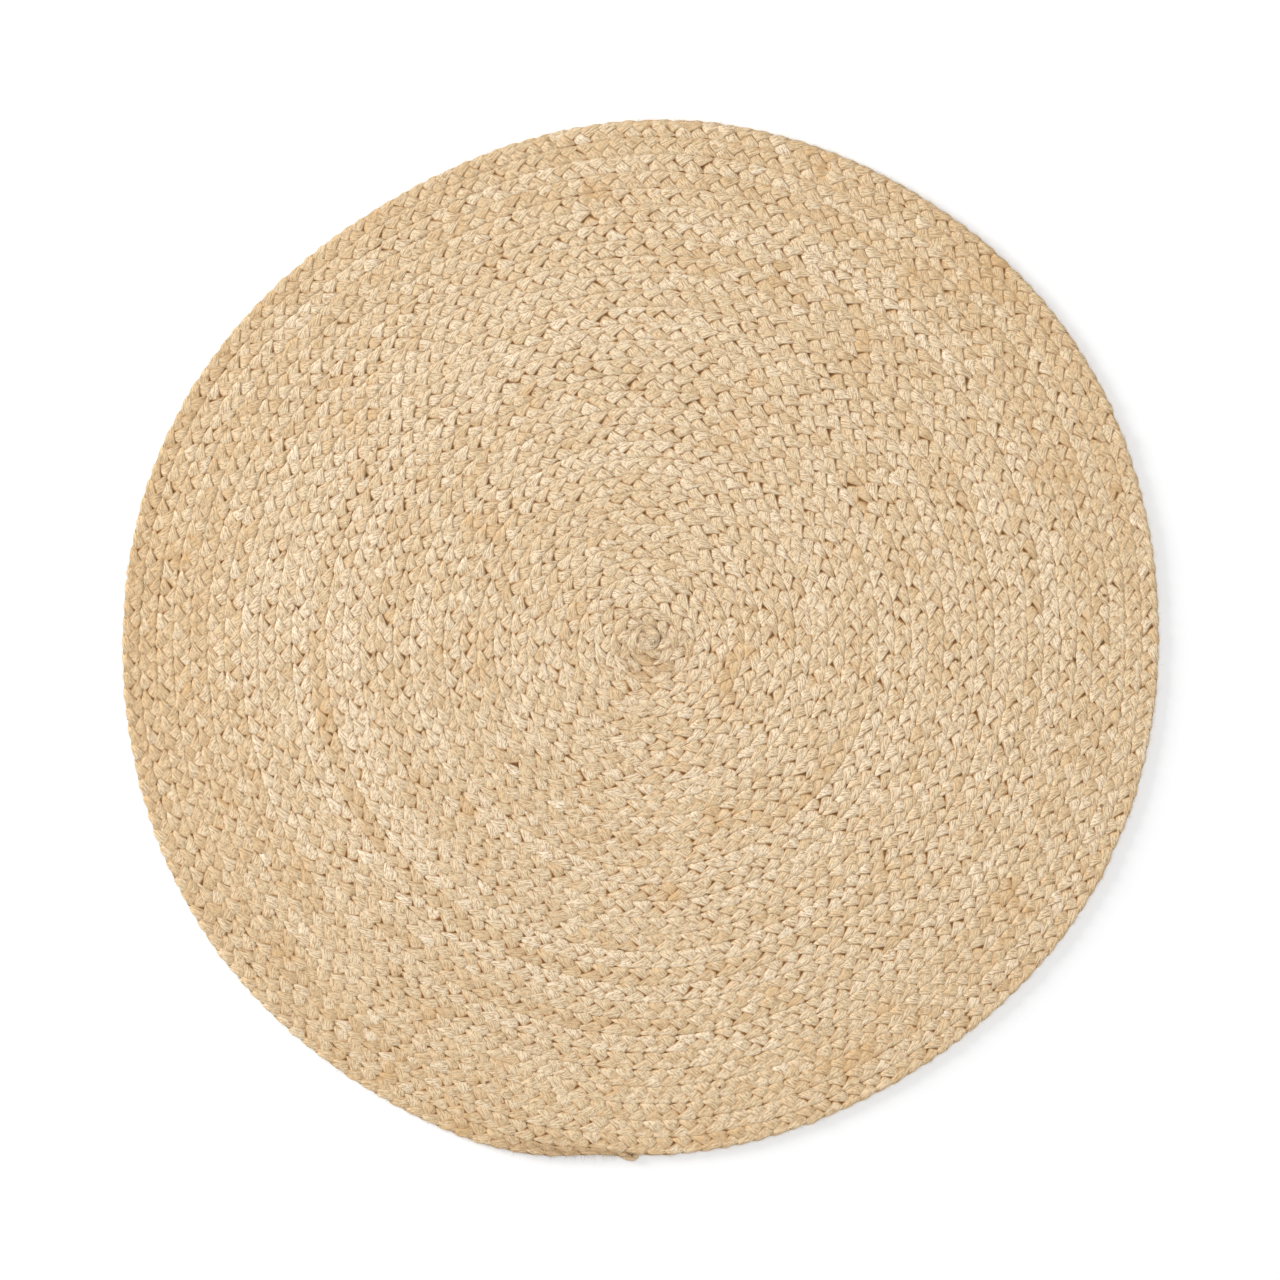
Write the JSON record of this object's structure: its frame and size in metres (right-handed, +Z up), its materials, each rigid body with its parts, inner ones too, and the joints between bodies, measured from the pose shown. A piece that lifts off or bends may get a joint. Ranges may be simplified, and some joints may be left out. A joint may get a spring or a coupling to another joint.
{
  "type": "round braided area rug",
  "caption": "Flat round area rug made of a plaited jute braid, wound outward in a spiral and sewn edge to edge, for laying on a floor.",
  "frame": {"origin": "centre of the rug's bounding box, on the floor under it", "axes": "+Z up out of the floor; the braid winds outward counter-clockwise seen from above and ends near -Y; +X to the right of the spiral's end"},
  "size_m": [1.199, 1.2072, 0.0095],
  "materials": {
    "jute_strand_a": "natural plant fibre, matt with a faint sheen",
    "jute_strand_b": "natural plant fibre, matt with a faint sheen",
    "jute_strand_c": "natural plant fibre, matt with a faint sheen",
    "jute_thread": "twisted plant fibre thread, matt"
  },
  "bodies": {
    "root": {"inner_braid_strand_1": "jute_strand_a", "inner_braid_strand_2": "jute_strand_b", "inner_braid_strand_3": "jute_strand_c", "outer_braid_strand_1": "jute_strand_a", "outer_braid_strand_2": "jute_strand_b", "outer_braid_strand_3": "jute_strand_c", "seam_thread": "jute_thread", "splice_binding": "jute_thread", "centre_stitch": "jute_thread", "tail_stitch": "jute_thread"}
  },
  "joints": []
}
